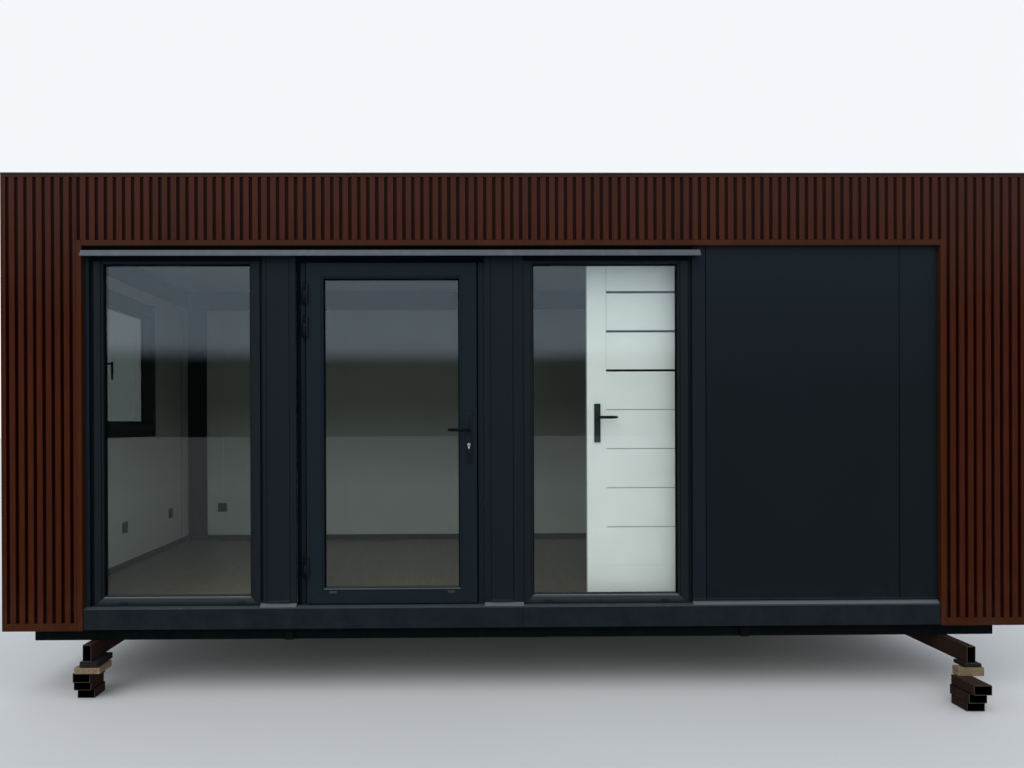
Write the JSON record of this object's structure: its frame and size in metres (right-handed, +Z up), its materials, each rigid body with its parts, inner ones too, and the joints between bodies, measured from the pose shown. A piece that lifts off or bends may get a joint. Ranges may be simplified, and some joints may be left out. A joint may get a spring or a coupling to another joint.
{
  "type": "shipping container cabin",
  "caption": "Flat-roofed modular cabin with slatted cladding round a recessed front of fixed windows, a glazed door and blank panels, set on skids and packing stacks.",
  "frame": {"origin": "centre of the cabin in plan, on the ground under the packing stacks", "axes": "+X along the length to the right when facing the front, +Y from the slatted front to the back, +Z up"},
  "size_m": [6, 3.72, 3.063],
  "materials": {
    "slatted_boards": "matt reddish brown slatted boards",
    "board_trim": "matt reddish brown trim boards",
    "anthracite_cover": "satin anthracite folded sheet",
    "anthracite_frame": "satin anthracite powder coat",
    "anthracite_steel": "matt anthracite paint on steel",
    "wall_panel": "insulated panel, anthracite outside and white inside",
    "white_panel": "white coated inner panel",
    "black_steel": "black bitumen paint on steel",
    "light_strip": "satin anodised strip",
    "roof_steel": "grey coated ribbed sheet",
    "floor_panel": "insulated floor panel",
    "floor_vinyl": "brown-grey floor covering",
    "batten_wood": "rough softwood battens",
    "clear_glass": "clear double glazing",
    "black_fittings": "black powder-coated fittings",
    "white_door": "white laminated door leaf and frame",
    "black_inlay": "black inlay strips",
    "dark_trim": "dark skirting and sockets",
    "rusty_tube": "rusted rectangular steel tube",
    "packing_timber": "weathered packing timber"
  },
  "bodies": {
    "cabin": {"skids": "black_steel", "floor_rail": "anthracite_steel", "front_sill": "anthracite_cover", "insulated_floor": "floor_panel", "floor_covering": "floor_vinyl", "corner_posts": "anthracite_steel", "roof_rail": "anthracite_steel", "ceiling": "white_panel", "roof_sheet": "roof_steel", "roof_ribs": "roof_steel", "roof_edge_cap": "anthracite_steel", "end_wall_left": "wall_panel", "end_wall_right": "wall_panel", "back_wall": "wall_panel", "front_wall": "white_panel", "front_wall_head": "white_panel", "cladding_battens": "batten_wood", "cladding_columns": "slatted_boards", "cladding_fascia": "slatted_boards", "cladding_trims": "board_trim", "recess_trim": "board_trim", "drip_strip": "light_strip", "post_covers": "anthracite_cover", "blank_panels": "anthracite_cover", "head_cover": "anthracite_cover", "base_flashing": "anthracite_cover", "window_frames": "anthracite_frame", "window_glass": "clear_glass", "door_frame": "anthracite_frame", "end_window_frame": "anthracite_frame", "end_window_glass": "clear_glass", "frame_hinges": "black_fittings", "partition_wall": "white_panel", "partition_head": "white_panel", "inner_door_frame": "white_door", "skirting": "dark_trim", "sockets": "dark_trim", "support_tubes": "rusty_tube", "support_timbers": "packing_timber"},
    "front_door": {"door_leaf": "anthracite_frame", "door_glass": "clear_glass", "door_fittings": "black_fittings"},
    "front_lever": {"front_lever": "black_fittings"},
    "inner_door": {"inner_door_leaf": "white_door", "inner_door_inlays": "black_inlay", "inner_door_fittings": "black_fittings"},
    "inner_lever": {"inner_lever": "black_fittings"}
  },
  "joints": [
    {"name": "front_door_hinge", "type": "hinge", "parent": "cabin", "child": "front_door", "pos_m": [-1.247, -1.47, 1.56], "axis": [0, 0, -1], "range_deg": [0, 105]},
    {"name": "front_lever_turn", "type": "hinge", "parent": "front_door", "child": "front_lever", "pos_m": [-0.285, -1.423, 1.561], "axis": [0, -1, 0], "range_deg": [0, 40], "stiffness_Nm_per_rad": 3, "springref_deg": -22.92},
    {"name": "inner_door_hinge", "type": "hinge", "parent": "cabin", "child": "inner_door", "pos_m": [1.09, -1.295, 1.56], "axis": [0, 0, -1], "range_deg": [0, 90]},
    {"name": "inner_lever_turn", "type": "hinge", "parent": "inner_door", "child": "inner_lever", "pos_m": [0.503, -1.27, 1.633], "axis": [0, 1, 0], "range_deg": [0, 40], "stiffness_Nm_per_rad": 3, "springref_deg": -22.92}
  ]
}
